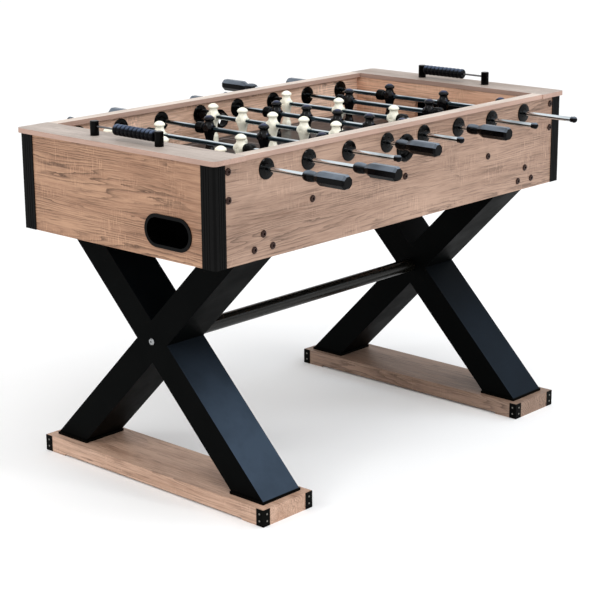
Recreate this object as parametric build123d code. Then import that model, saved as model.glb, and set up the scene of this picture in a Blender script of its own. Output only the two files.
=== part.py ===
from build123d import *
import math
import os

os.makedirs("parts", exist_ok=True)

# Foosball table on two X-shaped legs. Millimetres, +Z up.
# Origin: on the floor, under the middle of the cabinet.
# X runs along the table (one goal at each end), Y runs along the playing rods.

# ---------------------------------------------------------------- cabinet
RIM_L, RIM_W = 1378.0, 700.0            # outline of the rim over its two end boards
TOP_Z, RIM_T = 891.0, 12.0              # top of the rim, rim board thickness
CAB_X, CAB_Y = 680.0, 339.0             # outer faces of the panels
BOARD, SIDE_BOARD = 15.0, 13.0          # thickness of the end and side panels
CAB_Z0, CAB_Z1 = 636.0, TOP_Z - RIM_T   # panels, bottom and top
END_RIM_W, RIM_R = 103.0, 14.0          # end board width, radius of its outer corners
RAIL_Y, RAIL_W = 347.0, 34.0            # side rail, outer edge and width
POST_PROUD, POST_R = 2.5, 6.0           # corner post past the panels, outer radius
POST_SIDE, POST_END = 36.5, 43.5        # post legs along the side and the end panels
WALL_X = 588.0                          # playing face of the goal walls
GOAL_HALF, GOAL_TOP = 104.0, 838.0
FIELD_Z, FIELD_T = 774.0, 12.0          # playing surface and its thickness
BATTEN = 20.0
INNER_Y = CAB_Y - SIDE_BOARD            # inner face of the side panels
INNER_X = CAB_X - BOARD                 # inner face of the end panels

# ---------------------------------------------------------------- rods
ROD_N, ROD_PITCH, ROD_Z, ROD_R = 8, 145.5, 848.5, 6.35
RUN = 0.05                              # radial running clearance on the rods
BEARING_R, BARREL_R, BEARING_PROUD = 25.5, 11.0, 6.0
MAN_HALF, MAN_TOP, MAN_FOOT = 16.5, 35.5, 70.0
BUMP_R, BUMP_L = 15.0, 28.0
GRIP_L, GRIP_AF = 131.0, 33.0           # grip length, across flats
CAP_R = 8.5
# Rods from the -X end. Figures, spacing, rest shift along Y, side of the grip,
# grip neck and end cap distances from the middle figure.
RODS = [
    dict(men=3, gap=198.0, shift=7.7, side=-1, neck=466.0, cap=440.0),
    dict(men=2, gap=291.0, shift=31.0, side=-1, neck=515.0, cap=498.0),
    dict(men=3, gap=197.0, shift=-54.2, side=1, neck=447.0, cap=440.0),
    dict(men=5, gap=111.0, shift=52.2, side=-1, neck=423.0, cap=412.0),
    dict(men=5, gap=111.0, shift=-47.0, side=1, neck=423.0, cap=412.0),
    dict(men=3, gap=197.0, shift=76.1, side=-1, neck=447.0, cap=440.0),
    dict(men=2, gap=291.0, shift=18.4, side=1, neck=515.0, cap=498.0),
    dict(men=3, gap=198.0, shift=-63.7, side=1, neck=466.0, cap=440.0),
]

# ---------------------------------------------------------------- fittings
ENTRY_Z, ENTRY_FLANGE_R, ENTRY_THROAT_R, ENTRY_SPOUT = 825.0, 35.5, 18.0, 16.0
CUP_Y, CUP_Z, CUP_W, CUP_H = 185.0, 703.0, 158.0, 81.0
CUP_LIP, CUP_WALL, CUP_DEPTH = 6.0, 2.5, 68.0
BOLT_HEAD_R, BOLT_R, BOLT_HOLE_R = 9.0, 3.0, 3.15
CORNER_BOLTS = [(635.0, 859.7), (635.0, 793.5)]
BATTEN_BOLTS = [(351.0, 752.0)]
LEG_BOLTS = [(522.0, 696.0), (491.0, 662.5), (553.0, 662.5)]
SCORER_X, SCORER_Y, SCORER_Z = 635.0, 114.0, 914.0
SCORE_POST_R, SCORE_POST_H, SCORE_ROD_R = 11.0, 36.0, 2.5
BEADS, BEAD_PITCH, BEAD_R = 10, 14.0, 14.0

# ---------------------------------------------------------------- legs
LEG_X, LEG_D, LEG_W = 510.0, 127.0, 77.0
CROSS_Z, FOOT_Y = 377.0, 322.0          # crossing height, foot centre on the base
LEG_TOP_Z = 720.0
PLATE_T = 7.0
BASE_X, BASE_W, BASE_L, BASE_Z0, BASE_Z1 = 513.0, 171.0, 800.0, 5.0, 44.0
PAD_L = 72.0
BRACKET, BRACKET_T = 22.0, 1.5
TUBE_R, TUBE_WALL, TUBE_PLUG = 19.0, 1.5, 22.0
FOOT_Z = BASE_Z1 + PLATE_T
SLOPE = (CROSS_Z - FOOT_Z) / FOOT_Y     # rise over run of each beam


# ---------------------------------------------------------------- helpers
def box(x0, x1, y0, y1, z0, z1):
    size = Box(abs(x1 - x0), abs(y1 - y0), abs(z1 - z0))
    return Pos((x0 + x1) / 2, (y0 + y1) / 2, (z0 + z1) / 2) * size


def x_cyl(r, x0, x1, y, z):
    return Pos((x0 + x1) / 2, y, z) * Rot(0, 90, 0) * Cylinder(r, abs(x1 - x0))


def y_cyl(r, y0, y1, x, z):
    return Pos(x, (y0 + y1) / 2, z) * Rot(90, 0, 0) * Cylinder(r, abs(y1 - y0))


def turned_y(points):
    """Solid of revolution about Y from (radius, y) points."""
    return revolve(make_face(Polyline(*points, close=True)), Axis.Y)


def half_turn(solid):
    return Rot(0, 0, 180) * solid


def both_ends(solid):
    """A piece and its copy at the other end of the table."""
    return [solid, half_turn(solid)]


def save(name, *solids):
    pieces = []
    for s in solids:
        pieces.extend(s.solids())
    export_step(pieces[0] if len(pieces) == 1 else Compound(pieces), f"parts/{name}.step")


def rod_x(i):
    return (i - (ROD_N - 1) / 2) * ROD_PITCH


def men_offsets(rod):
    return [(k - (rod["men"] - 1) / 2) * rod["gap"] for k in range(rod["men"])]


# ---------------------------------------------------------------- cabinet boards
def side_bolt_places():
    """(x, z) of every bolt through one side panel."""
    pairs = CORNER_BOLTS + BATTEN_BOLTS + LEG_BOLTS
    return [(s * x, z) for x, z in pairs for s in (-1, 1)] + [(0.0, BATTEN_BOLTS[0][1])]


def side_panel():
    """The panel on the -Y side, drilled for bearings, ball entry and bolts."""
    x = CAB_X + POST_PROUD - POST_SIDE
    panel = box(-x, x, -CAB_Y, -INNER_Y, CAB_Z0, CAB_Z1)
    cuts = [y_cyl(BARREL_R + 0.2, -CAB_Y - 1, -INNER_Y + 1, rod_x(i), ROD_Z) for i in range(ROD_N)]
    cuts.append(y_cyl(ENTRY_THROAT_R + 3.2, -CAB_Y - 1, -INNER_Y + 1, 0, ENTRY_Z))
    cuts += [y_cyl(BOLT_HOLE_R, -CAB_Y - 1, -INNER_Y + 1, bx, bz) for bx, bz in side_bolt_places()]
    return panel - cuts


def stadium_x(w, h, x0, x1, y, z):
    """Prism along X with a round-ended w by h outline."""
    core = box(x0, x1, y - (w - h) / 2, y + (w - h) / 2, z - h / 2, z + h / 2)
    return core + [x_cyl(h / 2, x0, x1, y + s * (w - h) / 2, z) for s in (-1, 1)]


def end_panel():
    """The panel at the -X end, with the hole for the ball return cup."""
    y = CAB_Y + POST_PROUD - POST_END
    panel = box(-CAB_X, -INNER_X, -y, y, CAB_Z0, CAB_Z1)
    hole = stadium_x(CUP_W - 10, CUP_H - 10, -CAB_X - 1, -INNER_X + 1, -CUP_Y, CUP_Z)
    return panel - hole


def corner_post(sx, sy):
    """Fluted L-shaped post that closes one corner of the cabinet."""
    x1, y1 = CAB_X + POST_PROUD, CAB_Y + POST_PROUD
    x0, y0 = x1 - POST_SIDE, y1 - POST_END
    outer = box(x0, x1, y0, y1, CAB_Z0, CAB_Z1)
    edge = outer.edges().filter_by(Axis.Z).sort_by(lambda e: e.center().X + e.center().Y)[-1]
    post = fillet(edge, POST_R) - box(x0 - 1, INNER_X, y0 - 1, INNER_Y, CAB_Z0 - 1, CAB_Z1 + 1)
    for k in range(3):
        u, v = x0 + 7.0 + 7.0 * k, y0 + 9.0 + 8.0 * k
        post -= box(u, u + 1.6, y1 - 0.7, y1 + 1, CAB_Z0 - 1, CAB_Z1 + 1)
        post -= box(x1 - 0.7, x1 + 1, v, v + 1.6, CAB_Z0 - 1, CAB_Z1 + 1)
    if sx < 0:
        post = mirror(post, Plane.YZ)
    if sy < 0:
        post = mirror(post, Plane.XZ)
    return post


def goal_wall():
    wall = box(WALL_X, WALL_X + BOARD, -INNER_Y, INNER_Y, CAB_Z0 + 4, CAB_Z1)
    return wall - box(WALL_X - 1, WALL_X + BOARD + 1, -GOAL_HALF, GOAL_HALF, FIELD_Z, GOAL_TOP)


def rim_end_board():
    board = box(RIM_L / 2 - END_RIM_W, RIM_L / 2, -RIM_W / 2, RIM_W / 2, CAB_Z1, TOP_Z)
    corners = board.edges().filter_by(Axis.Z).group_by(Axis.X)[-1]
    return fillet(corners, RIM_R)


def rim_side_rail():
    x = RIM_L / 2 - END_RIM_W
    return box(-x, x, RAIL_Y - RAIL_W, RAIL_Y, CAB_Z1, TOP_Z)


def battens():
    """Cleats inside the cabinet: under the field along the sides, and in the corners."""
    out = []
    for s in (-1, 1):
        rail = box(-WALL_X + 8, WALL_X - 8, s * (INNER_Y - BATTEN), s * INNER_Y,
                   FIELD_Z - FIELD_T - BATTEN, FIELD_Z - FIELD_T)
        z = BATTEN_BOLTS[0][1]
        holes = [y_cyl(BOLT_HOLE_R, s * (INNER_Y - 17), s * (INNER_Y + 1), x, z)
                 for x in (-BATTEN_BOLTS[0][0], 0.0, BATTEN_BOLTS[0][0])]
        out.append(rail - holes)
        for t in (-1, 1):
            block = box(t * 612, t * INNER_X, s * (INNER_Y - 45), s * INNER_Y, 650, 870)
            holes = [y_cyl(BOLT_HOLE_R, s * (INNER_Y - 17), s * (INNER_Y + 1), t * x, z)
                     for x, z in CORNER_BOLTS]
            out.append(block - holes)
    return out


# ---------------------------------------------------------------- ball fittings
def goal_chute():
    """Tray behind the goal at the -X end; its floor falls towards the return cup."""
    x0, x1, t = -INNER_X + 1, -WALL_X - BOARD - 1, 3.0
    y_hi, y_lo = GOAL_HALF + 6, -CUP_Y - 80
    tray = box(x0, x0 + t, y_lo, y_hi, 747, 842)
    for y in (y_hi, y_lo):
        tray += box(x0, x1, y - t / 2, y + t / 2, 747, 842)
    floor = [(y_hi, 768.0), (-GOAL_HALF, 752.0), (-GOAL_HALF, 749.0), (y_hi, 765.0)]
    face = make_face(Plane.YZ * Polyline(*floor, close=True))
    tray += Pos(x0, 0, 0) * extrude(face, x1 - x0, dir=(1, 0, 0))
    return tray


def return_cup():
    """Flanged cup in the end panel at -X, open in front and under the tray."""
    w, h = CUP_W - 2 * CUP_LIP, CUP_H - 2 * CUP_LIP
    cup = stadium_x(CUP_W, CUP_H, -CAB_X - 3, -CAB_X, -CUP_Y, CUP_Z)
    cup += stadium_x(w, h, -CAB_X, -CAB_X + CUP_DEPTH, -CUP_Y, CUP_Z)
    cup -= stadium_x(w - 2 * CUP_WALL, h - 2 * CUP_WALL, -CAB_X - 4,
                     -CAB_X + CUP_DEPTH - CUP_WALL, -CUP_Y, CUP_Z)
    return cup - box(-658, -617, -CUP_Y - 42, -CUP_Y + 42, CUP_Z + 20, CUP_Z + h)


def entry_set():
    """Ball entry on the -Y side: flanged funnel and spout through the panel, ring inside."""
    r, wall = ENTRY_THROAT_R, 3.0
    f, tip = ENTRY_FLANGE_R, -INNER_Y + ENTRY_SPOUT
    funnel = turned_y([(r, tip), (r + wall, tip), (r + wall, -CAB_Y), (f, -CAB_Y), (f, -CAB_Y - 2),
                       (f - 3, -CAB_Y - 4), (r + 9, -CAB_Y - 4), (r, -CAB_Y + 6)])
    ring = turned_y([(r + wall + 0.2, -INNER_Y), (28, -INNER_Y), (28, -INNER_Y + 2),
                     (26, -INNER_Y + 4), (r + wall + 0.2, -INNER_Y + 4)])
    return [Pos(0, 0, ENTRY_Z) * s for s in (funnel, ring)]


def bearing_set():
    """Rod bearing on the -Y side: flanged bush from outside, flanged nut inside."""
    bore, p = ROD_R + RUN, BEARING_PROUD
    bush = turned_y([(bore, -INNER_Y + p), (BARREL_R, -INNER_Y + p), (BARREL_R, -CAB_Y),
                     (BEARING_R, -CAB_Y), (BEARING_R, -CAB_Y - 1.6), (BEARING_R - 2, -CAB_Y - 2.6),
                     (13, -CAB_Y - 4), (11.5, -CAB_Y - p), (bore, -CAB_Y - p)])
    hole = BARREL_R + 0.15
    nut = turned_y([(hole, -INNER_Y), (BEARING_R, -INNER_Y), (BEARING_R, -INNER_Y + 1.6),
                    (BEARING_R - 2, -INNER_Y + 2.6), (15, -INNER_Y + 4), (14, -INNER_Y + p),
                    (hole, -INNER_Y + p)])
    return [bush, nut]


def bearings():
    out = []
    for i in range(ROD_N):
        for part in bearing_set():
            out.append(Pos(rod_x(i), 0, ROD_Z) * part)
            out.append(half_turn(Pos(-rod_x(i), 0, ROD_Z) * part))
    return out


# ---------------------------------------------------------------- fasteners
def furniture_bolt(shank):
    """Low round head with a hex socket; the head's underside is at y = 0, shank to +Y."""
    head = turned_y([(0, 0), (BOLT_HEAD_R, 0), (BOLT_HEAD_R, -1.2), (8.6, -1.6), (7.6, -2.8),
                     (6.0, -3.4), (0, -3.4)])
    socket = extrude(Plane.XZ * RegularPolygon(3.2, 6), 2.2)
    return head + y_cyl(BOLT_R, 0, shank, 0, 0) - Pos(0, -1.3, 0) * socket


def furniture_bolts():
    out = []
    deep, short = furniture_bolt(SIDE_BOARD + 22), furniture_bolt(SIDE_BOARD + 15)
    for x, z in side_bolt_places():
        bolt = Pos(x, -CAB_Y, z) * (deep if z < 720 else short)
        out += both_ends(bolt)
    centre = furniture_bolt(LEG_D + TUBE_PLUG - 4)
    turn = Rot(0, 0, -90)
    out += both_ends(Pos(-LEG_X - LEG_D / 2, 0, CROSS_Z) * turn * centre)
    return out


# ---------------------------------------------------------------- legs
def beam_outline(sign, half):
    """Beam section in the YZ plane; sign +1 leans to +Y at the top."""
    run = LEG_W / 2 * math.sqrt(1 + SLOPE ** 2) / SLOPE
    pts = [(-half / SLOPE - run, -half), (-half / SLOPE + run, -half),
           (half / SLOPE + run, half), (half / SLOPE - run, half)]
    pts = [(sign * y, CROSS_Z + z) for y, z in pts]
    face = make_face(Plane.YZ * Polyline(*pts, close=True))
    beam = extrude(face, LEG_D / 2, dir=(1, 0, 0), both=True)
    room = box(-LEG_D, LEG_D, -BASE_L / 2, BASE_L / 2, FOOT_Z, CAB_Z0)
    room += box(-LEG_D, LEG_D, -INNER_Y, INNER_Y, CAB_Z0, LEG_TOP_Z)
    return beam & room


def leg_frame():
    """Long beam and the two half beams of the frame at the -X end."""
    long_beam = beam_outline(1, 500)
    halves = beam_outline(-1, 500) - beam_outline(1, 600)
    pieces = [long_beam] + list(halves.solids().sort_by(Axis.Z))
    out = []
    for p in pieces:
        p = Pos(-LEG_X, 0, 0) * p
        for x, z in LEG_BOLTS:
            for s in (-1, 1):
                p -= y_cyl(BOLT_HOLE_R, s * (INNER_Y - 24), s * (INNER_Y + 1), -x, z)
        p -= x_cyl(BOLT_HOLE_R, -LEG_X - LEG_D, -LEG_X + LEG_D, 0, CROSS_Z)
        out.append(p)
    return out


def foot_plates():
    run = LEG_W / 2 * math.sqrt(1 + SLOPE ** 2) / SLOPE + 2.5
    out = []
    for sx in (-1, 1):
        for sy in (-1, 1):
            y = sy * FOOT_Y
            out.append(box(sx * LEG_X - LEG_D / 2 - 2.5, sx * LEG_X + LEG_D / 2 + 2.5,
                           y - run, y + run, BASE_Z1, FOOT_Z))
    return out


def screw_places():
    """Bracket screws of the base board at +X: (position on the bracket's face, inward normal)."""
    out = []
    for sx in (-1, 1):
        for sy in (-1, 1):
            for z in (14.0, 32.0):
                x = BASE_X + sx * (BASE_W / 2 - BRACKET / 2)
                out.append(((x, sy * (BASE_L / 2 + BRACKET_T), z), "y", -sy))
                y = sy * (BASE_L / 2 - BRACKET / 2)
                out.append(((BASE_X + sx * (BASE_W / 2 + BRACKET_T), y, z), "x", -sx))
    return out


def along(place, r, a, b):
    """Cylinder on a screw's axis, from a to b along its inward normal."""
    (x, y, z), axis, n = place
    if axis == "x":
        return x_cyl(r, x + n * a, x + n * b, y, z)
    return y_cyl(r, y + n * a, y + n * b, x, z)


def base_board():
    board = box(BASE_X - BASE_W / 2, BASE_X + BASE_W / 2, -BASE_L / 2, BASE_L / 2, BASE_Z0, BASE_Z1)
    return board - [along(p, 1.3, 0, 12) for p in screw_places()]


def base_brackets():
    out = []
    w, t = BASE_W / 2, BRACKET_T
    for sx in (-1, 1):
        for sy in (-1, 1):
            cx, cy = BASE_X + sx * (w + t), sy * (BASE_L / 2 + t)
            b = box(cx, cx - sx * (BRACKET + t), cy, cy - sy * t, 1, BASE_Z1 - 0.5)
            b += box(cx, cx - sx * t, cy, cy - sy * (BRACKET + t), 1, BASE_Z1 - 0.5)
            out.append(b)
    return [b - [along(p, 1.4, -1, 3) for p in screw_places()] for b in out]


def bracket_screws():
    return [along(p, 2.4, -0.9, 0) + along(p, 1.2, 0, 11) for p in screw_places()]


def base_pads():
    out = []
    for sy in (-1, 1):
        out.append(box(BASE_X - BASE_W / 2, BASE_X + BASE_W / 2,
                       sy * BASE_L / 2, sy * (BASE_L / 2 - PAD_L), 0, BASE_Z0))
    return out


def stretcher():
    """Round tube between the leg crossings, with a drilled plug in each end."""
    x = LEG_X - LEG_D / 2
    tube = x_cyl(TUBE_R, -x, x, 0, CROSS_Z)
    tube -= x_cyl(TUBE_R - TUBE_WALL, -x + TUBE_PLUG, x - TUBE_PLUG, 0, CROSS_Z)
    return tube - [x_cyl(BOLT_HOLE_R, s * (x + 1), s * (x - TUBE_PLUG - 1), 0, CROSS_Z) for s in (-1, 1)]


# ---------------------------------------------------------------- scorers
def scorer(which):
    """Posts, rod and beads of the scorer at the -X end."""
    x = -SCORER_X
    posts = []
    for s in (-1, 1):
        post = Pos(x, s * SCORER_Y, TOP_Z + SCORE_POST_H / 2) * Cylinder(SCORE_POST_R, SCORE_POST_H)
        post = fillet(post.edges().group_by(Axis.Z)[-1], 2.0)
        reach = SCORER_Y - SCORE_POST_R
        posts.append(post - y_cyl(SCORE_ROD_R + 0.1, s * (reach - 2), s * (reach + 8), x, SCORER_Z))
    end = SCORER_Y - SCORE_POST_R + 7
    rod = y_cyl(SCORE_ROD_R, -end, end, x, SCORER_Z)
    w = BEAD_PITCH / 2 - 0.1
    ring = turned_y([(SCORE_ROD_R + 0.3, -w), (10.5, -w), (13, -w + 1.8), (BEAD_R, -w + 4.4),
                     (BEAD_R, w - 4.4), (13, w - 1.8), (10.5, w), (SCORE_ROD_R + 0.3, w)])
    first = -(SCORER_Y - SCORE_POST_R) + 0.3 + BEAD_PITCH / 2
    beads = [Pos(x, first + k * BEAD_PITCH, SCORER_Z) * ring for k in range(BEADS)]
    return {"posts": posts, "rod": [rod], "beads": beads}[which]


# ---------------------------------------------------------------- playing rods
def figure():
    """One player: helmet, neck, torso with the rod boss, waist and kicking foot."""
    head = Spline((0, MAN_TOP), (6.5, 34.4), (11.6, 31.0), (14.6, 25.6), tangents=[(1, 0), (0.1, -1)])
    brim = Polyline((14.6, 25.6), (13.8, 23.4), (10.8, 21.2))
    body = Spline((10.8, 21.2), (10.9, 18.6), (13.4, 10.8), (16.2, 3.0), (15.7, -6), (12.9, -16),
                  (10.8, -25), (9.6, -40))
    foot = Polyline((9.6, -40), (10.2, -47), (12.8, -54), (12.8, -MAN_FOOT), (0, -MAN_FOOT), (0, MAN_TOP))
    man = revolve(Plane.XZ * make_face(head + brim + body + foot), Axis.Z)
    side = [(15.5, 37), (15.5, 20), (12.4, 15), (13.8, 5), (13.8, -5), (11.4, -17), (8.8, -30),
            (7.4, -41), (7.8, -47), (10, -56), (10, -62), (6.4, -MAN_FOOT)]
    outline = side + [(-x, z) for x, z in reversed(side)]
    slab = extrude(Plane.XZ * make_face(Polyline(*outline, close=True)), 20, both=True)
    man = (man & slab) + y_cyl(10.4, -MAN_HALF, MAN_HALF, 0, 0)
    man -= y_cyl(ROD_R + RUN, -MAN_HALF - 1, MAN_HALF + 1, 0, 0)
    man -= x_cyl(1.6, -15, 15, 0, 0)
    return man - x_cyl(3.2, -15, -11.2, 0, 0)


def figure_screw():
    return x_cyl(3.0, -12.4, -11.2, 0, 0) + x_cyl(1.5, -11.2, 10, 0, 0)


def grip():
    """Grip with its neck end at y = 0 and its butt at -GRIP_L: bulb, waist, octagonal barrel."""
    neck = turned_y([(0, 0), (8.5, 0), (11.5, -3), (13.2, -9), (13.6, -17), (12.6, -27),
                     (11.0, -34), (11.0, -46), (0, -46)])
    r = GRIP_AF / 2 / math.cos(math.pi / 8)
    octagon = RegularPolygon(r, 8, rotation=22.5)
    small = RegularPolygon(r * 0.62, 8, rotation=22.5)
    end = RegularPolygon(r * 0.80, 8, rotation=22.5)
    plane = Plane((0, 0, 0), x_dir=(1, 0, 0), z_dir=(0, -1, 0))
    barrel = loft([plane.offset(36) * small, plane.offset(52) * octagon])
    barrel += extrude(plane.offset(52) * octagon, GRIP_L - 52 - 6)
    barrel += loft([plane.offset(GRIP_L - 6) * octagon, plane.offset(GRIP_L) * end])
    return neck + barrel - y_cyl(ROD_R + RUN, -GRIP_L + 16, 1, 0, 0)


def bumper():
    """Ringed rubber bumper, y = 0 to BUMP_L outwards."""
    b, r = ROD_R + RUN, BUMP_R
    pts = [(b, 0.3), (r - 2.5, 0.3), (r - 1.5, 2), (r - 1.5, 6)]
    for k in range(4):
        y = 7 + 4.6 * k
        pts += [(r - 2.2, y), (r, y + 1.2), (r, y + 3.0), (r - 2.2, y + 4.2)]
    pts += [(r - 3.5, BUMP_L - 1.2), (r - 5, BUMP_L), (b, BUMP_L)]
    return turned_y(pts)


def end_cap():
    """Ball-shaped cap on the plain end of a rod, centre at y = 0, outwards -Y."""
    ball = Sphere(CAP_R) + y_cyl(7.6, 0, 9, 0, 0)
    return ball - y_cyl(ROD_R + RUN, -4, 10, 0, 0)


def save_rod(i, man, screw, stop):
    rod = RODS[i]
    here = Pos(rod_x(i), rod["shift"], ROD_Z)
    turn = Rot(0, 0, 0) if rod["side"] < 0 else Rot(0, 0, 180)
    place = here * turn
    offs = men_offsets(rod)
    bar = y_cyl(ROD_R, -rod["neck"] - GRIP_L + 17, rod["cap"] + 3, 0, 0)
    bar -= [x_cyl(1.6, -ROD_R - 1, ROD_R + 1, y, 0) for y in offs]
    outer = offs[-1] + MAN_HALF
    save(f"rod_{i + 1}_bar", place * bar)
    men = [place * (Pos(0, y, 0) * p) for y in offs for p in (man, screw)]
    save(f"rod_{i + 1}_players", *men)
    save(f"rod_{i + 1}_grip_and_cap", place * (Pos(0, -rod["neck"], 0) * grip()),
         place * (Pos(0, rod["cap"], 0) * (Rot(0, 0, 180) * end_cap())))
    save(f"rod_{i + 1}_bumpers", place * (Pos(0, outer, 0) * stop),
         place * (Pos(0, -outer, 0) * (Rot(0, 0, 180) * stop)))


def main():
    save("side_panel_near", side_panel())
    save("side_panel_far", half_turn(side_panel()))
    save("end_panel_left", end_panel())
    save("end_panel_right", half_turn(end_panel()))
    save("corner_posts", *[corner_post(sx, sy) for sx in (-1, 1) for sy in (-1, 1)])
    save("goal_wall_left", half_turn(goal_wall()))
    save("goal_wall_right", goal_wall())
    save("rim_end_boards", *both_ends(rim_end_board()))
    save("rim_side_rails", *both_ends(rim_side_rail()))
    save("playfield", box(-WALL_X, WALL_X, -INNER_Y, INNER_Y, FIELD_Z - FIELD_T, FIELD_Z))
    save("wood_battens", *battens())
    save("goal_chutes", *both_ends(goal_chute()))
    save("ball_return_cups", *both_ends(return_cup()))
    save("ball_entries", *[p for s in entry_set() for p in both_ends(s)])
    save("rod_bearings", *bearings())
    save("furniture_bolts", *furniture_bolts())
    frame = leg_frame()
    save("leg_beams_long", *both_ends(frame[0]))
    save("leg_beams_half", *both_ends(frame[1]), *both_ends(frame[2]))
    save("leg_foot_plates", *foot_plates())
    save("base_boards", *both_ends(base_board()))
    save("base_pads", *[p for s in base_pads() for p in both_ends(s)])
    save("base_brackets", *[p for s in base_brackets() for p in both_ends(s)])
    save("bracket_screws", *[p for s in bracket_screws() for p in both_ends(s)])
    save("stretcher", stretcher())
    for name in ("posts", "rod"):
        save(f"scorer_{name}", *[p for s in scorer(name) for p in both_ends(s)])
    save("scorer_beads_left", *scorer("beads"))
    save("scorer_beads_right", *[half_turn(b) for b in scorer("beads")])
    fitted = figure(), figure_screw(), bumper()
    for i in range(ROD_N):
        save_rod(i, *fitted)


main()
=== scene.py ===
import bpy
import math
from mathutils import Matrix, Vector

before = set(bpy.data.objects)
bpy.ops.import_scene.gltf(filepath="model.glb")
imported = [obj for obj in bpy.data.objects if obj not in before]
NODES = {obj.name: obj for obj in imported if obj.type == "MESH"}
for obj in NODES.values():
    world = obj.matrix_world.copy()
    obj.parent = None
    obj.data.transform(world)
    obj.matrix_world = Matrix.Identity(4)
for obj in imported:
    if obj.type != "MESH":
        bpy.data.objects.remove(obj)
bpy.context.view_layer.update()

# ---------------------------------------------------------------- camera, floor, light
EYE = (-3.340, -3.040, 1.624)           # metres
HEADING, DROP, ROLL = 47.45, 15.587, -0.40   # degrees: from +Y towards +X, below the horizon, about the view
LENS, SENSOR = 103.3, 36.0              # mm

# ---------------------------------------------------------------- places and directions on the table
ALONG, ACROSS, UP = 0, 1, 2             # axes X, Y and Z
PANEL_FACE = 0.33                       # m from the middle, between the inner and outer faces of a side panel
OUTSIDE = (0.34, 0.36)                  # m from the middle, where a rod passes from inside to outside
PAINTED_SHEEN_LOW, PAINTED_SHEEN_HIGH = 0.14, 0.42        # m, the heights where the painted sheen on the legs' upward faces is full and gone
LINE_HALF = 0.0022                      # m, half the width of a field marking
CIRCLE_R, SPOT_R, ARC_R = 0.105, 0.009, 0.07
GOAL_AREAS = ((0.40, 0.18), (0.50, 0.11))   # distance from the halfway line, half width
TOUCH_LINE, TOUCH_END = 0.30, 0.58
CREAM_RODS = (1, 2, 4, 6)               # the other rods carry black players


def look(obj, eye, heading, drop, roll=0.0):
    a, e = math.radians(heading), math.radians(drop)
    forward = Vector((math.sin(a) * math.cos(e), math.cos(a) * math.cos(e), -math.sin(e)))
    spin = forward.to_track_quat("-Z", "Y")
    obj.rotation_mode = "QUATERNION"
    obj.rotation_quaternion = spin @ Matrix.Rotation(math.radians(roll), 3, "Z").to_quaternion()
    obj.location = eye


def aim(obj, eye, target):
    obj.rotation_mode = "QUATERNION"
    obj.location = eye
    obj.rotation_quaternion = (Vector(target) - Vector(eye)).to_track_quat("-Z", "Y")


def link(obj):
    bpy.context.scene.collection.objects.link(obj)
    return obj


def area_light(name, eye, target, size, power, colour=(1, 1, 1)):
    data = bpy.data.lights.new(name, "AREA")
    data.shape = "RECTANGLE"
    data.size, data.size_y = size
    data.energy, data.color = power, colour
    aim(link(bpy.data.objects.new(name, data)), eye, target)


def make_camera():
    data = bpy.data.cameras.new("camera")
    data.lens, data.sensor_width = LENS, SENSOR
    data.clip_end = 60
    cam = link(bpy.data.objects.new("camera", data))
    look(cam, EYE, HEADING, DROP, ROLL)
    bpy.context.scene.camera = cam


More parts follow.
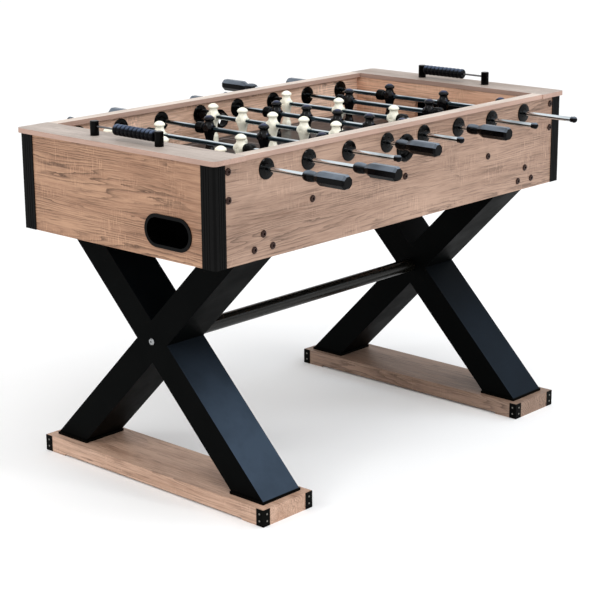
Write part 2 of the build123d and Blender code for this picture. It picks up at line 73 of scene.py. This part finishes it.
# ---------------------------------------------------------------- shader graphs
class Graph:
    """A material's node tree, with short calls for the nodes used here."""

    def __init__(self, name):
        self.mat = bpy.data.materials.new(name)
        self.mat.use_nodes = True
        self.tree = self.mat.node_tree
        self.bsdf = self.tree.nodes["Principled BSDF"]
        self.where = self.node("ShaderNodeTexCoord").outputs["Object"]

    def node(self, kind, **values):
        n = self.tree.nodes.new(kind)
        for k, v in values.items():
            setattr(n, k, v)
        return n

    def put(self, socket, value):
        if isinstance(value, bpy.types.NodeSocket):
            self.tree.links.new(value, socket)
        elif isinstance(value, (tuple, list)) and len(value) == 3 and len(socket.default_value) == 4:
            socket.default_value = (*value, 1)
        else:
            socket.default_value = value

    def scaled(self, x, y, z, shift=(0, 0, 0)):
        n = self.node("ShaderNodeMapping")
        self.put(n.inputs["Vector"], self.where)
        n.inputs["Scale"].default_value = (x, y, z)
        n.inputs["Location"].default_value = shift
        return n.outputs["Vector"]

    def noise(self, where, scale=1.0, detail=3.0, rough=0.5, bend=0.0):
        n = self.node("ShaderNodeTexNoise")
        self.put(n.inputs["Vector"], where)
        for k, v in (("Scale", scale), ("Detail", detail), ("Roughness", rough), ("Distortion", bend)):
            self.put(n.inputs[k], v)
        return n.outputs["Fac"]

    def math(self, op, a, b=0.0, clamp=False):
        n = self.node("ShaderNodeMath", operation=op, use_clamp=clamp)
        self.put(n.inputs[0], a)
        self.put(n.inputs[1], b)
        return n.outputs[0]

    def times(self, a, b, clamp=False):
        return self.math("MULTIPLY", a, b, clamp)

    def plus(self, a, b):
        return self.math("ADD", a, b)

    def size(self, value):
        return self.math("ABSOLUTE", value)

    def fit(self, value, lo, hi, a=0.0, b=1.0):
        """value's range lo..hi stretched to a..b, clamped."""
        n = self.node("ShaderNodeMapRange", interpolation_type="SMOOTHSTEP")
        for k, v in (("Value", value), ("From Min", lo), ("From Max", hi), ("To Min", a), ("To Max", b)):
            self.put(n.inputs[k], v)
        return n.outputs["Result"]

    def ramp(self, value, *stops):
        n = self.node("ShaderNodeValToRGB")
        el = n.color_ramp.elements
        while len(el) < len(stops):
            el.new(0.5)
        for e, (pos, colour) in zip(el, stops):
            e.position, e.color = pos, (*colour, 1)
        self.put(n.inputs["Fac"], value)
        return n.outputs["Color"]

    def mix(self, t, a, b, blend="MIX"):
        n = self.node("ShaderNodeMix", data_type="RGBA", blend_type=blend)
        self.put(n.inputs[0], t)
        self.put(n.inputs[6], a)
        self.put(n.inputs[7], b)
        return n.outputs[2]

    def xyz(self, where=None):
        n = self.node("ShaderNodeSeparateXYZ")
        self.put(n.inputs[0], where or self.where)
        return n.outputs

    def upness(self):
        """How far the surface looks up: 1 for a level top, -1 for an underside."""
        return self.xyz(self.node("ShaderNodeNewGeometry").outputs["Normal"])[2]

    def bump(self, height, distance):
        n = self.node("ShaderNodeBump")
        self.put(n.inputs["Height"], height)
        n.inputs["Distance"].default_value = distance
        n.inputs["Strength"].default_value = 1.0
        last = self.bsdf.inputs["Normal"]
        if last.is_linked:
            self.put(n.inputs["Normal"], last.links[0].from_socket)
        self.put(last, n.outputs["Normal"])

    def finish(self, colour=None, rough=None, **constants):
        if colour is not None:
            self.put(self.bsdf.inputs["Base Color"], colour)
        if rough is not None:
            self.put(self.bsdf.inputs["Roughness"], rough)
        for k, v in constants.items():
            self.bsdf.inputs[k.replace("_", " ")].default_value = v
        return self.mat


def srgb(r, g, b):
    """8-bit display colour to linear."""
    return tuple((c / 255 / 12.92) if c <= 10 else ((c / 255 + 0.055) / 1.055) ** 2.4 for c in (r, g, b))


def oak(name, along, across, light, mid, dark, shift=(0, 0, 0), figure=1.0, hatch=1.0, edge=None, painted_inner_light=None,
        far_painted_shade=None, spec=0.3):
    """Rustic oak print. along and across are the grain's and the face's axes, 0 to 2.

    With edge, the faces that don't look up take that darker colour, as the rim's edge banding does.
    With the inner-light colour factor, the faces that look into the table are painted that much paler, as
    painted light.
    With the far-shade factor, the half of the part at +X is painted that much darker, as painted shade.
    """
    g = Graph(name)

    def stretched(length, cross, offset=0.0):
        s = [cross] * 3
        s[along] = length
        return g.scaled(*s, shift=tuple(c + offset for c in shift))

    # growth lines: level curves of a slope across the board plus a slow swell, so that they run straight and
    # open into arches
    swell = g.noise(stretched(1.3, 8.0), detail=1.2, rough=0.35)
    level = g.plus(g.times(g.xyz()[across], 118.0), g.times(swell, 21.0))
    wobble = g.noise(stretched(14.0, 60.0, 2.2), detail=3.0, rough=0.6)
    drift = g.noise(stretched(0.9, 26.0, 8.8), detail=2.0, rough=0.5)
    level = g.plus(level, g.plus(g.times(wobble, 1.3), g.times(drift, 7.0)))
    saw_tooth = g.math("FRACT", level)
    line = g.times(g.math("POWER", saw_tooth, 3.5), g.fit(saw_tooth, 0.92, 1.0, 1.0, 0.1))
    strength = g.fit(g.noise(stretched(3.2, 12.0, 4.4), detail=4.0, rough=0.7), 0.40, 0.60, 0.10, 1.0)
    line = g.times(line, strength)
    broad = g.noise(stretched(1.5, 9.0, 3.7), detail=4.0, rough=0.6)
    streak = g.noise(stretched(5.0, 130.0, 6.6), detail=5.0, rough=0.7)
    fibre = g.noise(stretched(22.0, 520.0, 9.1), detail=3.0, rough=0.7)
    pore = g.fit(g.noise(stretched(10.0, 300.0, 5.3), detail=2.0, rough=0.5), 0.56, 0.68)
    # rough-sawn marks: short strokes across the grain, in patches, some paler and some darker
    nick = g.noise(stretched(330.0, 26.0, 1.9), detail=4.0, rough=0.7, bend=0.6)
    patch = g.fit(g.noise(stretched(7.0, 13.0, 7.7), detail=4.0, rough=0.65), 0.47, 0.62)
    dark_nick = g.times(g.fit(nick, 0.52, 0.66), patch)
    pale_nick = g.times(g.fit(nick, 0.48, 0.34), patch)
    tone = g.plus(g.times(broad, 0.60), g.times(streak, 0.40))
    tone = g.plus(tone, g.times(g.math("SUBTRACT", fibre, 0.5), 0.30))
    colour = g.ramp(tone, (0.36, dark), (0.49, mid), (0.61, light))
    deep = tuple(c * 0.40 for c in dark)
    colour = g.mix(g.times(line, figure, True), colour, deep)
    colour = g.mix(g.times(pore, 0.42), colour, deep)
    colour = g.mix(g.times(dark_nick, 0.50 * hatch), colour, deep)
    colour = g.mix(g.times(pale_nick, 1.1 * hatch, True), colour, tuple(min(1.0, c * 1.35) for c in light))
    if edge:
        up = g.upness()
        band = g.ramp(tone, (0.38, tuple(c * 0.72 for c in edge)), (0.60, edge))
        colour = g.mix(g.fit(up, 0.45, 0.85), band, colour)
    # painted shade: the +X half is painted darker
    if far_painted_shade:
        away = g.fit(g.xyz()[ALONG], -0.1, 0.3)
        colour = g.mix(away, colour, g.mix(1.0, colour, (far_painted_shade, far_painted_shade, far_painted_shade), "MULTIPLY"))
    # painted light: the faces that look into the table are painted paler
    if painted_inner_light:
        inward = g.fit(g.size(g.xyz()[ACROSS]), PANEL_FACE, PANEL_FACE - 0.001)
        colour = g.mix(inward, colour, g.mix(1.0, colour, painted_inner_light, "MULTIPLY"))
    g.bump(g.math("SUBTRACT", fibre, g.times(dark_nick, 0.8 * hatch)), 0.0002)
    rough = g.fit(streak, 0.3, 0.7, 0.42, 0.58)
    return g.finish(colour, rough, Specular_IOR_Level=spec)


def lacquer(name, black, painted_sheen, rough):
    """Black satin lacquer. Its upward faces carry a painted pale bluish sheen, a painted reflection of a
    lamp, strongest low down and on the near legs.
    """
    g = Graph(name)
    up = g.upness()
    smear = g.noise(g.where, 9.0, 4.0, 0.6)
    low = g.fit(g.xyz()[UP], PAINTED_SHEEN_HIGH, PAINTED_SHEEN_LOW, 0.04, 1.0)
    near = g.fit(g.xyz()[ALONG], 0.2, -0.2, 0.25, 1.0)
    # painted sheen: a bluish painted reflection on upward faces, strongest low down and on the near legs
    painted_sheen_mask = g.times(g.times(g.fit(up, 0.15, 0.75), g.fit(smear, 0.25, 0.75, 0.8, 1.15)),
                  g.times(low, near))
    fine = g.noise(g.where, 500.0, 2.0, 0.6)
    g.bump(fine, 0.00006)
    colour = g.mix(painted_sheen_mask, black, painted_sheen)
    return g.finish(colour, g.fit(smear, 0.3, 0.7, rough * 0.9, rough * 1.15), Specular_IOR_Level=0.02)


def plastic(name, colour, rough, grain=900.0, depth=0.00006, **constants):
    """Moulded plastic or paint: fine grain, faint smears in the gloss and a little colour drift."""
    g = Graph(name)
    fine = g.noise(g.where, grain, 2.0, 0.6)
    smear = g.noise(g.where, 22.0, 4.0, 0.6)
    drift = g.mix(g.fit(smear, 0.3, 0.7), tuple(c * 0.86 for c in colour), tuple(c * 1.12 for c in colour))
    g.bump(fine, depth)
    return g.finish(drift, g.fit(smear, 0.3, 0.7, rough * 0.85, rough * 1.2), **constants)


def metal(name, colour, rough, along=None, metallic=1.0, middle=None):
    """Metal with draw marks along an axis and faint smudges.

    With middle, the pieces on the table's middle line take that colour.
    """
    g = Graph(name)
    s = [260.0] * 3
    if along is not None:
        s[along] = 6.0
    lines = g.noise(g.scaled(*s), 1.0, 3.0, 0.6)
    smudge = g.noise(g.where, 30.0, 4.0, 0.6)
    shade = g.mix(g.fit(smudge, 0.35, 0.7), tuple(c * 0.9 for c in colour), colour)
    if middle:
        shade = g.mix(g.fit(g.size(g.xyz()[ACROSS]), 0.1, 0.09), shade, middle)
    g.bump(lines, 0.00002)
    rough = g.plus(g.fit(lines, 0.3, 0.7, 0.0, rough * 0.5), g.fit(smudge, 0.3, 0.7, rough * 0.7, rough))
    return g.finish(shade, rough, Metallic=metallic)


def plastic_with_painted_sheen(name, black, sheen, start=0.35, full=0.85, spec=0.08):
    """Black plastic with a smeared painted pale sheen, a painted reflection of the lamps, where it looks up,
    from upness start to full.
    """
    g = Graph(name)
    up = g.upness()
    smear = g.noise(g.scaled(30, 12, 30), 1.0, 4.0, 0.6)
    # painted sheen: a painted reflection on the faces that look up
    painted_sheen_mask = g.times(g.fit(up, start, full), g.fit(smear, 0.25, 0.7, 0.5, 1.0))
    g.bump(g.noise(g.where, 700.0, 2.0, 0.6), 0.00004)
    return g.finish(g.mix(painted_sheen_mask, black, sheen), g.fit(smear, 0.3, 0.7, 0.15, 0.25), Specular_IOR_Level=spec)


def rod_steel(name, dark, bright):
    """Polished rod with a painted reflection: painted bright along its top and bottom lines, dark between,
    with broken lengthwise streaks.

    Outside the cabinet most of its upper half is painted bright as well, also a painted reflection.
    """
    g = Graph(name)
    up = g.upness()
    streak = g.noise(g.scaled(240.0, 9.0, 240.0), 1.0, 4.0, 0.65)
    patchy = g.noise(g.scaled(20.0, 6.0, 20.0, shift=(3, 1, 2)), 1.0, 3.0, 0.6)
    outside = g.fit(g.size(g.xyz()[ACROSS]), *OUTSIDE, 0.0, 0.62)
    # painted reflection: a bright crown on the upper side, wider outside the cabinet
    crown = g.plus(g.plus(up, outside), g.times(g.math("SUBTRACT", streak, 0.5), 0.5))
    crown = g.fit(crown, 0.55, 0.86)
    # painted reflection along the underside
    belly = g.fit(g.plus(up, g.times(g.math("SUBTRACT", streak, 0.5), 0.4)), -0.25, -0.55)
    painted_reflection = g.times(g.math("MAXIMUM", crown, belly), g.fit(patchy, 0.3, 0.6, 0.45, 1.0))
    g.bump(streak, 0.00002)
    return g.finish(g.mix(painted_reflection, dark, bright), g.fit(patchy, 0.3, 0.7, 0.10, 0.2), Metallic=1.0)


def field_print(name, ground, mark):
    """Charcoal field with pale markings: halfway line, centre circle and spot, goal areas, touch lines."""
    g = Graph(name)
    x, y, _ = g.xyz()

    def near(value, at):
        return g.fit(g.size(g.math("SUBTRACT", value, at)), LINE_HALF, LINE_HALF * 0.7)

    def below(value, limit):
        return g.fit(value, limit + 0.001, limit - 0.001)

    arc_centre = GOAL_AREAS[0][0]
    ax, ay = g.size(x), g.size(y)
    reach = g.math("POWER", g.plus(g.times(x, x), g.times(y, y)), 0.5)
    arc = g.math("POWER", g.plus(g.math("POWER", g.math("SUBTRACT", ax, arc_centre), 2.0),
                                 g.times(y, y)), 0.5)
    lines = [near(x, 0.0), near(reach, CIRCLE_R), below(reach, SPOT_R),
             g.times(near(arc, ARC_R), below(ax, arc_centre)),
             g.times(near(ay, TOUCH_LINE), below(ax, TOUCH_END))]
    for depth, half_width in GOAL_AREAS:
        lines.append(g.times(near(ax, depth), below(ay, half_width)))
        lines.append(g.times(near(ay, half_width), g.fit(ax, depth - 0.001, depth + 0.001)))
    total = lines[0]
    for v in lines[1:]:
        total = g.math("MAXIMUM", total, v)
    scuff = g.noise(g.where, 40.0, 5.0, 0.65)
    worn = g.times(total, g.fit(scuff, 0.3, 0.6, 0.6, 1.0))
    base = g.mix(g.fit(scuff, 0.3, 0.7), tuple(c * 0.8 for c in ground), tuple(c * 1.25 for c in ground))
    g.bump(g.noise(g.where, 700.0, 2.0, 0.5), 0.00003)
    return g.finish(g.mix(worn, base, mark), g.fit(scuff, 0.3, 0.7, 0.32, 0.42), Specular_IOR_Level=0.4)


def paint_nodes(mat, *names):
    """Give these CAD nodes one material in every slot."""
    for name in names:
        for slot in NODES[name].material_slots:
            slot.material = mat
        if not NODES[name].material_slots:
            NODES[name].data.materials.append(mat)


def soften(width, *names):
    """Round the sharp edges of these nodes a little."""
    for name in names:
        m = NODES[name].modifiers.new("bevel", "BEVEL")
        m.width, m.segments, m.limit_method = width, 2, "ANGLE"
        m.angle_limit = math.radians(40)
        m.use_clamp_overlap = True
        m.harden_normals = False


def sun(name, heading, height, angle, power):
    """A far soft light that shines from a compass heading (from +Y towards +X) and a height in degrees."""
    data = bpy.data.lights.new(name, "SUN")
    data.energy, data.angle = power, math.radians(angle)
    a, e = math.radians(heading), math.radians(height)
    eye = Vector((math.sin(a) * math.cos(e), math.cos(a) * math.cos(e), math.sin(e))) * 8
    aim(link(bpy.data.objects.new(name, data)), eye, (0, 0, 0))


def shades(light, mid, dark):
    return dict(light=srgb(*light), mid=srgb(*mid), dark=srgb(*dark))


def paint_wood():
    panel_ends = shades((182, 143, 115), (160, 122, 97), (130, 93, 70))
    panel_sides = shades((176, 146, 127), (157, 128, 110), (128, 99, 82))
    goal_walls = shades((240, 192, 162), (226, 176, 146), (196, 146, 118))
    rim_ends = shades((196, 183, 174), (180, 167, 158), (154, 138, 127))
    rim_sides = shades((226, 211, 199), (212, 197, 185), (186, 168, 155))
    bases = shades((210, 176, 154), (192, 158, 136), (160, 124, 102))
    softwood = shades((214, 186, 140), (196, 164, 118), (160, 124, 84))
    rim = dict(figure=0.5, hatch=0.3, edge=srgb(186, 154, 139))
    # painted light on the side panels' inner faces, as colour factors
    inward_painted_light = (2.6, 2.75, 2.85)
    paint_nodes(oak("oak_ends", ACROSS, UP, **panel_ends, figure=1.25, hatch=0.5),
                "end_panel_left", "end_panel_right")
    paint_nodes(oak("oak_sides", ALONG, UP, **panel_sides, figure=1.0, hatch=0.55, painted_inner_light=inward_painted_light),
                "side_panel_near", "side_panel_far")
    paint_nodes(oak("oak_goal_walls", ACROSS, UP, **goal_walls, shift=(3, 1, 2), figure=0.7, hatch=0.5),
                "goal_wall_left", "goal_wall_right")
    paint_nodes(oak("oak_rim_ends", ACROSS, ALONG, **rim_ends, **rim, shift=(5, 2, 1)), "rim_end_boards")
    paint_nodes(oak("oak_rim_sides", ALONG, ACROSS, **rim_sides, **rim, shift=(2, 6, 1)), "rim_side_rails")
    # the bases' +X half carries painted shade
    paint_nodes(oak("oak_bases", ACROSS, ALONG, **bases, shift=(8, 3, 4), hatch=0.3, far_painted_shade=0.5),
                "base_boards", "base_pads")
    paint_nodes(oak("softwood", ALONG, UP, **softwood), "wood_battens")


def paint_fittings():
    paint_nodes(field_print("field_print", srgb(34, 34, 37), srgb(150, 152, 156)), "playfield")
    paint_nodes(plastic("black_moulding", srgb(9, 9, 9), 0.4, Specular_IOR_Level=0.05),
                "corner_posts", "goal_chutes")
    paint_nodes(plastic("black_gloss", srgb(2, 2, 2), 0.1, Specular_IOR_Level=0.07),
                "ball_return_cups", "ball_entries", "scorer_posts")
    paint_nodes(plastic("black_nylon", srgb(2, 2, 2), 0.12, Specular_IOR_Level=0.1), "rod_bearings")
    # painted sheen, a painted reflection, on the beads' upper faces
    paint_nodes(plastic_with_painted_sheen("bead_plastic", srgb(5, 6, 10), srgb(84, 98, 122)),
                "scorer_beads_left", "scorer_beads_right")
    # the legs carry a painted bluish sheen, a painted reflection, on their upward faces
    paint_nodes(lacquer("leg_lacquer", srgb(3, 4, 4), srgb(56, 68, 82), 0.5),
                "leg_beams_long", "leg_beams_half")
    paint_nodes(plastic("black_plate", srgb(4, 4, 3), 0.4, Specular_IOR_Level=0.03),
                "leg_foot_plates", "base_brackets")
    paint_nodes(metal("bolt_steel", srgb(60, 46, 42), 0.22, middle=srgb(150, 152, 154)), "furniture_bolts")
    paint_nodes(metal("screw_steel", srgb(132, 130, 124), 0.3), "bracket_screws")
    paint_nodes(metal("stretcher_paint", srgb(20, 19, 15), 0.25, ALONG, metallic=0.5), "stretcher")
    paint_nodes(metal("scorer_steel", srgb(120, 120, 122), 0.35, ACROSS), "scorer_rod")


def paint_rods():
    # the rods carry painted reflections in their colour
    steel = rod_steel("rod_steel", srgb(34, 50, 58), srgb(236, 246, 252))
    cream = plastic("player_cream", srgb(255, 252, 234), 0.25, Specular_IOR_Level=0.5)
    # painted sheen, a painted reflection, on the black players' and grips' upper faces
    gloss = plastic_with_painted_sheen("player_black", srgb(2, 2, 4), srgb(74, 82, 112), 0.70, 0.97, 0.2)
    grip = plastic_with_painted_sheen("grip_plastic", srgb(3, 3, 4), srgb(120, 130, 142))
    rubber = plastic("bumper_rubber", srgb(2, 2, 2), 0.12, Specular_IOR_Level=0.14)
    for i in range(1, 9):
        paint_nodes(steel, f"rod_{i}_bar")
        paint_nodes(cream if i in CREAM_RODS else gloss, f"rod_{i}_players")
        paint_nodes(grip, f"rod_{i}_grip_and_cap")
        paint_nodes(rubber, f"rod_{i}_bumpers")


def soften_edges():
    soften(0.0012, "rim_end_boards", "rim_side_rails", "leg_beams_long", "leg_beams_half", "base_boards")
    soften(0.0006, "side_panel_near", "side_panel_far", "end_panel_left", "end_panel_right",
           "leg_foot_plates", "base_pads", "goal_wall_left", "goal_wall_right")


def make_floor():
    reach = 40.0
    corners = [(-reach, -reach, 0), (reach, -reach, 0), (reach, reach, 0), (-reach, reach, 0)]
    mesh = bpy.data.meshes.new("floor")
    mesh.from_pydata(corners, [], [(0, 1, 2, 3)])
    floor = link(bpy.data.objects.new("floor", mesh))
    g = Graph("floor_paper")
    tint = g.noise(g.where, 3.0, 3.0)
    floor.data.materials.append(g.finish(g.mix(tint, (0.93, 0.93, 0.93), (0.95, 0.95, 0.95)), 0.9))


def make_lights():
    world = bpy.data.worlds.new("studio")
    world.use_nodes = True
    background = world.node_tree.nodes["Background"]
    background.inputs["Color"].default_value = (1, 1, 1, 1)
    background.inputs["Strength"].default_value = 0.84
    bpy.context.scene.world = world
    sun("key", 198, 62, 60, 0.9)
    sun("side", 255, 28, 60, 0.28)
    rim_centre = (0, 0, 0.85)
    area_light("window_right", (0.75, -3.2, 2.5), rim_centre, (0.45, 0.8), 20)
    area_light("window_left", (-3.3, 0.9, 2.5), rim_centre, (0.45, 0.8), 16)
    area_light("blue", (3.2, -2.2, 2.9), (-0.5, -0.2, 0.3), (2.0, 2.0), 30, (0.72, 0.86, 1.0))


def main():
    bpy.context.scene.view_settings.view_transform = "Standard"
    make_camera()
    paint_wood()
    paint_fittings()
    paint_rods()
    soften_edges()
    make_floor()
    make_lights()


main()
